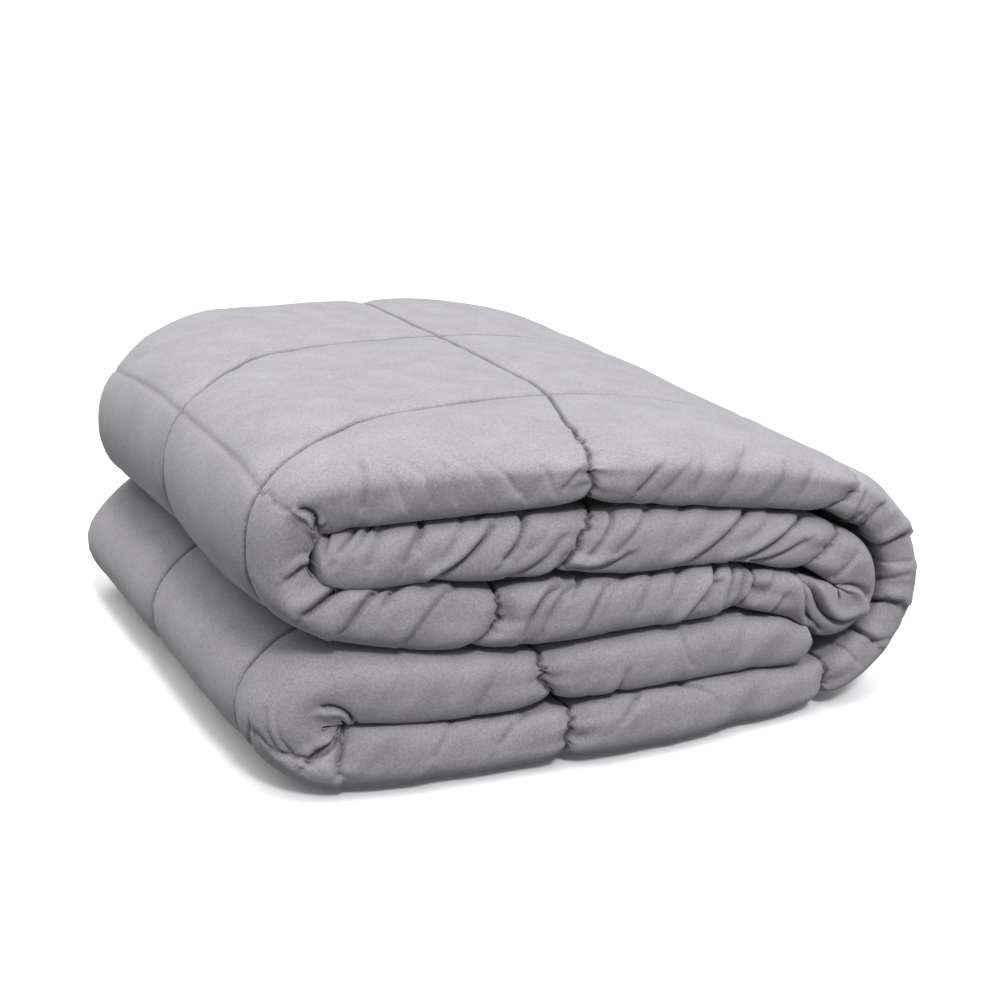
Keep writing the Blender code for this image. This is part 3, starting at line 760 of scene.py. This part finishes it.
def face_sheet(s_list, face, y, arc):
    """Points of one face before relief, the relief's height, v, and thread and painted shade."""
    s = s_list[:, None]
    v = arc if face == OUTER else -arc
    at = section(s, y, v, face)
    pinch = pinch_at(s)
    edge = edge_share(y - at.front - pinch, at.round)
    edge = edge * edge_share(at.back - pinch - y, BACK_SHARE * at.round)
    dips = valleys(s, y, at.line_a, at.line_b)
    lift = (at.half - dips * np.clip(edge * DIP_GAIN, 0, 1)) * end_taper(s, LENGTH) * edge
    lift = face * np.minimum(np.maximum(lift, 0), np.maximum(at.room, LEAST_HALF))
    x, z = at.x - np.sin(at.heading) * lift, at.z + np.cos(at.heading) * lift
    (seams, line), (creases, cut) = sewn(s, y, v, at.line_a, at.line_b), creased(at.slid, v)
    height = seams + rumpled(at.slid, v) + creases
    hidden = ramp(np.abs(v), *CREVICE) * (at.round < CREVICE_DEEPEST)
    height = np.where(height > 0, height * (1 - hidden), height)
    curl = face * np.interp(at.slid, LINE.s, LINE.curl)
    curled = ramp(curl, *CURL) * ramp(np.abs(v), *CURL_REACH)
    height = height * (1 - curled) * ramp(np.minimum(s, LENGTH - s), *END_FADE)
    height = height - dips * np.clip(1 - edge, 0, 1)
    # darkening: thread and painted shade on the seams, painted shade alone in crease cuts
    return np.stack([x, y, z], axis=-1), height, v, np.maximum(line, cut)


def relieved(place, height):
    """The points of a sheet, each moved out of it by its height."""
    cross = np.cross(np.gradient(place, axis=1), np.gradient(place, axis=0))
    outward = cross / np.maximum(np.linalg.norm(cross, axis=-1, keepdims=True), LEAST_NORM)
    return settle(place + outward * height[..., None])


def joined(pairs, cut):
    """One sheet of two faces' points, v, thread and painted shade, less so many columns a side."""
    place, height, v, thread_and_shade = (np.concatenate(pair, axis=1) for pair in pairs)
    return [values[:, cut:-cut] for values in (relieved(place, height), v, thread_and_shade)]


def band_sheet(s_list):
    """The band's points, v, thread and painted shade, columns from inner face round to outer."""
    inner, outer = (
        face_sheet(s_list, face, *band_columns(s_list, face)) for face in (INNER, OUTER)
    )
    return joined([(a[:, :0:-1], b) for a, b in zip(inner, outer)], 1)


def body_sheet(s_list, outer_counts, inner_counts):
    """The body's own, from beside the band on the outer face round to the inner one."""
    outer = face_sheet(s_list, OUTER, *body_columns(s_list, OUTER, outer_counts))
    inner = face_sheet(s_list, INNER, *body_columns(s_list, INNER, inner_counts))
    return joined([(a, b[:, -2::-1]) for a, b in zip(outer, inner)], 2)


def settle(points):
    """Leans the sides out towards the back, and presses the underside flat."""
    x, y, z = np.moveaxis(points, -1, 0)
    share = np.clip(y / STACK_DEPTH, 0, 1)
    upper = ramp(z, *LOWER_TO_UPPER)
    left = SPREAD_LOWER_LEFT + (SPREAD_UPPER_LEFT - SPREAD_LOWER_LEFT) * upper
    spread = SPREAD_RIGHT * ramp(x, *RIGHT_RANGE) - left * ramp(x, *LEFT_RANGE)
    sag = CORNER_SAG * ramp(y, *SAG_DEPTHS) * ramp(x, *SAG_RANGE)
    rise = RIGHT_RISE * ramp(y, *RISE_DEPTHS) * ramp(x, *RISE_RANGE)
    z = np.maximum(z * (1 - sag + rise), 0.0)
    return np.stack([x + share * spread - CENTRE[0], y - CENTRE[1], z], axis=-1)


def quads(grid):
    """Faces between the neighbours of a grid of vertex numbers."""
    corners = [grid[:-1, :-1], grid[:-1, 1:], grid[1:, 1:], grid[1:, :-1]]
    return np.stack(corners, axis=-1).reshape(-1, 4).tolist()


def fans(border, numbers, column, turned):
    """Triangles from a border of many vertices to a column with one for each of these numbers."""
    faces = []
    for k, (first, last) in enumerate(zip(numbers, numbers[1:])):
        middle = (first + last) // 2
        for i in range(first, last):
            faces.append((border[i], column[k if i < middle else k + 1], border[i + 1]))
        faces.append((column[k], column[k + 1], border[middle]))
    return [face[::-1] for face in faces] if turned else faces


def zipped(low, low_share, high, high_share):
    """Triangles between two rows of different counts."""
    faces, i, j = [], 0, 0
    while i < len(low) - 1 or j < len(high) - 1:
        if j == len(high) - 1 or (i < len(low) - 1 and low_share[i + 1] <= high_share[j + 1]):
            faces.append((low[i], low[i + 1], high[j]))
            i += 1
        else:
            faces.append((low[i], high[j + 1], high[j]))
            j += 1
    return faces


def round_share(v):
    """Place of a row's points round the ring, 0 to 1 on the outer face and on to 2."""
    return np.where(v >= 0, v / np.max(v), 2 - v / np.min(v))


def around(band, body, number, k):
    """Row k of the body, between the two points of the band's row of this number that it joins."""
    return np.concatenate([band[number, -1:], body[k], band[number, :1]])


def quilt_mesh():
    """The whole cloth: its points, its faces, and each point's thread colour and painted shade."""
    blocks = stations()
    fine, numbers = finer(np.concatenate(blocks))
    points, v, thread_and_shade = band_sheet(fine)
    band = np.arange(v.size).reshape(v.shape)
    faces = quads(band)
    sheets, count, at, last_row = [(points, thread_and_shade)], v.size, 0, None
    for s_list, (*_, outer_counts, inner_counts) in zip(blocks, BLOCKS):
        points, body_v, thread_and_shade = body_sheet(s_list, outer_counts, inner_counts)
        body = count + np.arange(body_v.size).reshape(body_v.shape)
        mine = numbers[at : at + len(s_list)]
        faces += quads(body)
        faces += fans(band[:, -1], mine, body[:, 0], False)
        faces += fans(band[:, 0], mine, body[:, -1], True)
        first_row, end_row = (
            (around(band, body, mine[k], k), round_share(around(v, body_v, mine[k], k)))
            for k in (0, -1)
        )
        if last_row:
            faces += zipped(*last_row, *first_row)
        else:
            first_ring = np.concatenate([first_row[0], band[0, 1:-1]])
        last_row = end_row
        sheets.append((points, thread_and_shade))
        count += body_v.size
        at += len(s_list)
    last_ring = np.concatenate([last_row[0], band[-1, 1:-1]])
    faces += [first_ring.tolist()[::-1], last_ring.tolist()]
    points = np.concatenate([sheet.reshape(-1, 3) for sheet, _ in sheets])
    return points, faces, np.concatenate([thread_and_shade.ravel() for _, thread_and_shade in sheets])


def quilt_object():
    points, faces, thread_and_shade = quilt_mesh()
    mesh = bpy.data.meshes.new("quilt_cloth")
    mesh.from_pydata((points * MM).tolist(), [], faces)
    mesh.update()
    mesh.shade_smooth()
    # per point: thread grey plus painted shade on sewn lines, painted shade in crease cuts
    values = mesh.attributes.new("thread_and_shade", "FLOAT", "POINT").data
    values.foreach_set("value", thread_and_shade.astype(np.float32))
    piece = bpy.data.objects.new("quilt_cloth", mesh)
    bpy.context.scene.collection.objects.link(piece)
    return piece


# ---------------------------------------------------------------- materials
CLOTH = {
    "Roughness": 0.92,
    "Specular IOR Level": 0.25,
    "Sheen Weight": 0.12,
    "Sheen Roughness": 0.45,
}
# From thread and painted shade to the brushed cloth: place on the tone ramp, and colour
CLOTH_TONES = (
    # the darkest tone, on sewn lines and crease cuts: thread grey plus painted shade
    (0.10, (0.075, 0.070, 0.080, 1)),
    (0.48, (0.236, 0.222, 0.249, 1)),
    (0.88, (0.346, 0.330, 0.361, 1)),
)
THREAD_AND_SHADE_SHARE = -0.6  # how far thread and painted shade move the tone down that ramp
FIBRE = {"Scale": 900.0, "Detail": 3.0, "Roughness": 0.7}
PATCH, PATCH_SHARE = {"Scale": 45.0, "Detail": 3.0, "Roughness": 0.6}, 0.35
BUMP = {"Strength": 0.35, "Distance": 0.0006}
FLOOR = {"Base Color": (0.909, 0.882, 0.923, 1), "Roughness": 0.9}


def fill_in(node, values):
    """Sets the node's own inputs to these values."""
    for name, value in values.items():
        node.inputs[name].default_value = value


def maths(tree, operation, *inputs):
    """The output of a new maths node, whose inputs are outputs of other nodes or numbers."""
    node = tree.nodes.new("ShaderNodeMath")
    node.operation = operation
    for socket, value in zip(node.inputs, inputs):
        if isinstance(value, bpy.types.NodeSocket):
            tree.links.new(value, socket)
        else:
            socket.default_value = value
    return node.outputs[0]


def new_material(name, values):
    """A material, its node tree, and its shader with these values filled in."""
    material = bpy.data.materials.new(name)
    material.use_nodes = True
    shader = material.node_tree.nodes["Principled BSDF"]
    fill_in(shader, values)
    return material, material.node_tree, shader


def cloth_material():
    material, tree, shader = new_material("brushed grey microfibre", CLOTH)
    nodes, links = tree.nodes, tree.links
    coords = nodes.new("ShaderNodeTexCoord")

    def noise_of(values):
        node = nodes.new("ShaderNodeTexNoise")
        fill_in(node, values)
        links.new(coords.outputs["Object"], node.inputs["Vector"])
        return node.outputs["Fac"]

    fibre = noise_of(FIBRE)
    brushed = maths(tree, "MULTIPLY_ADD", noise_of(PATCH), PATCH_SHARE, fibre)
    # painted shade: sewn lines and crease cuts darken the colour, with the thread's grey on the
    # seams
    thread_and_shade = nodes.new("ShaderNodeAttribute")
    thread_and_shade.attribute_name = "thread_and_shade"
    tone = maths(tree, "MULTIPLY_ADD", thread_and_shade.outputs["Fac"], THREAD_AND_SHADE_SHARE, brushed)
    tones = nodes.new("ShaderNodeValToRGB")
    tones.color_ramp.elements.new(CLOTH_TONES[1][0])
    for element, (place, colour) in zip(tones.color_ramp.elements, CLOTH_TONES):
        element.position, element.color = place, colour
    links.new(tone, tones.inputs["Fac"])
    links.new(tones.outputs["Color"], shader.inputs["Base Color"])
    bump = nodes.new("ShaderNodeBump")
    fill_in(bump, BUMP)
    links.new(fibre, bump.inputs["Height"])
    links.new(bump.outputs["Normal"], shader.inputs["Normal"])
    return material


# ---------------------------------------------------------------- the scene
CAMERA_PLACE = (-351.0, -637.0, 345.0)  # in the tables' coordinates
YAW, PITCH = math.radians(25.2), math.radians(16.8)  # to the right of straight ahead, and downwards
LENS, SENSOR = 61.2, 36.0
# The sun lamp's height, the side it shines from (0 is the right, 90 the back) and apparent size
SUN_ELEVATION, SUN_AZIMUTH, SUN_SIZE = math.radians(48.0), math.radians(264.0), math.radians(10.0)
SUN_STRENGTH = 1.7
SKY_COLOUR = (0.99, 1.02, 0.975, 1)
# Radiance below and at the horizon, what the zenith adds, and how fast
SKY_LOW, SKY_TOP, SKY_POWER = 0.25, 3.05, 3.0
FLOOR_FLAT, FLOOR_END, FLOOR_RISE, FLOOR_DROP = 6.0, 60.0, 28.0, 0.0002  # metres


def camera():
    level = math.cos(PITCH)
    ahead = Vector((math.sin(YAW) * level, math.cos(YAW) * level, -math.sin(PITCH)))
    data = bpy.data.cameras.new("camera")
    data.lens, data.sensor_width = LENS, SENSOR
    obj = bpy.data.objects.new("camera", data)
    x, y, z = CAMERA_PLACE
    obj.location = ((x - CENTRE[0]) * MM, (y - CENTRE[1]) * MM, z * MM)
    obj.rotation_mode = "QUATERNION"
    obj.rotation_quaternion = ahead.to_track_quat("-Z", "Y")
    bpy.context.scene.collection.objects.link(obj)
    bpy.context.scene.camera = obj


def sun():
    data = bpy.data.lights.new("front", "SUN")
    data.energy, data.angle = SUN_STRENGTH, SUN_SIZE
    obj = bpy.data.objects.new("front", data)
    level = math.cos(SUN_ELEVATION)
    x, y = level * math.cos(SUN_AZIMUTH), level * math.sin(SUN_AZIMUTH)
    obj.rotation_mode = "QUATERNION"
    obj.rotation_quaternion = Vector((x, y, math.sin(SUN_ELEVATION))).to_track_quat("Z", "Y")
    bpy.context.scene.collection.objects.link(obj)


def sky():
    """A studio's soft light, strongest from straight above."""
    world = bpy.data.worlds.new("studio")
    world.use_nodes = True
    tree = world.node_tree
    split = tree.nodes.new("ShaderNodeSeparateXYZ")
    coords = tree.nodes.new("ShaderNodeTexCoord")
    tree.links.new(coords.outputs["Generated"], split.inputs[0])
    upwards = maths(tree, "MAXIMUM", split.outputs["Z"], 0.0)
    zenith = maths(tree, "POWER", upwards, SKY_POWER)
    radiance = maths(tree, "MULTIPLY_ADD", zenith, SKY_TOP, SKY_LOW)
    background = tree.nodes["Background"]
    background.inputs["Color"].default_value = SKY_COLOUR
    tree.links.new(radiance, background.inputs["Strength"])
    bpy.context.scene.world = world


def floor():
    """A flat floor that rises gently far away, so that low views show no horizon."""
    corners = ((-1, -1), (1, -1), (1, 1), (-1, 1))
    points = [(FLOOR_FLAT * x, FLOOR_FLAT * y, 0) for x, y in corners]
    points += [(FLOOR_END * x, FLOOR_END * y, FLOOR_RISE) for x, y in corners]
    sides = [(k, 4 + k, 4 + (k + 1) % 4, (k + 1) % 4) for k in range(4)]
    mesh = bpy.data.meshes.new("floor")
    mesh.from_pydata(points, [], [(0, 1, 2, 3), *sides])
    obj = bpy.data.objects.new("floor", mesh)
    obj.data.materials.append(new_material("white floor", FLOOR)[0])
    obj.location.z = -FLOOR_DROP
    obj.visible_diffuse = False  # the sky alone lights the folds from below, as dim bounce
    bpy.context.scene.collection.objects.link(obj)


quilt = quilt_object()
quilt.data.materials.append(cloth_material())
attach(quilt, "root")
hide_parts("quilt")

floor()
sun()
sky()
camera()
bpy.context.scene.view_settings.view_transform = "Standard"

bpy.context.view_layer.update()
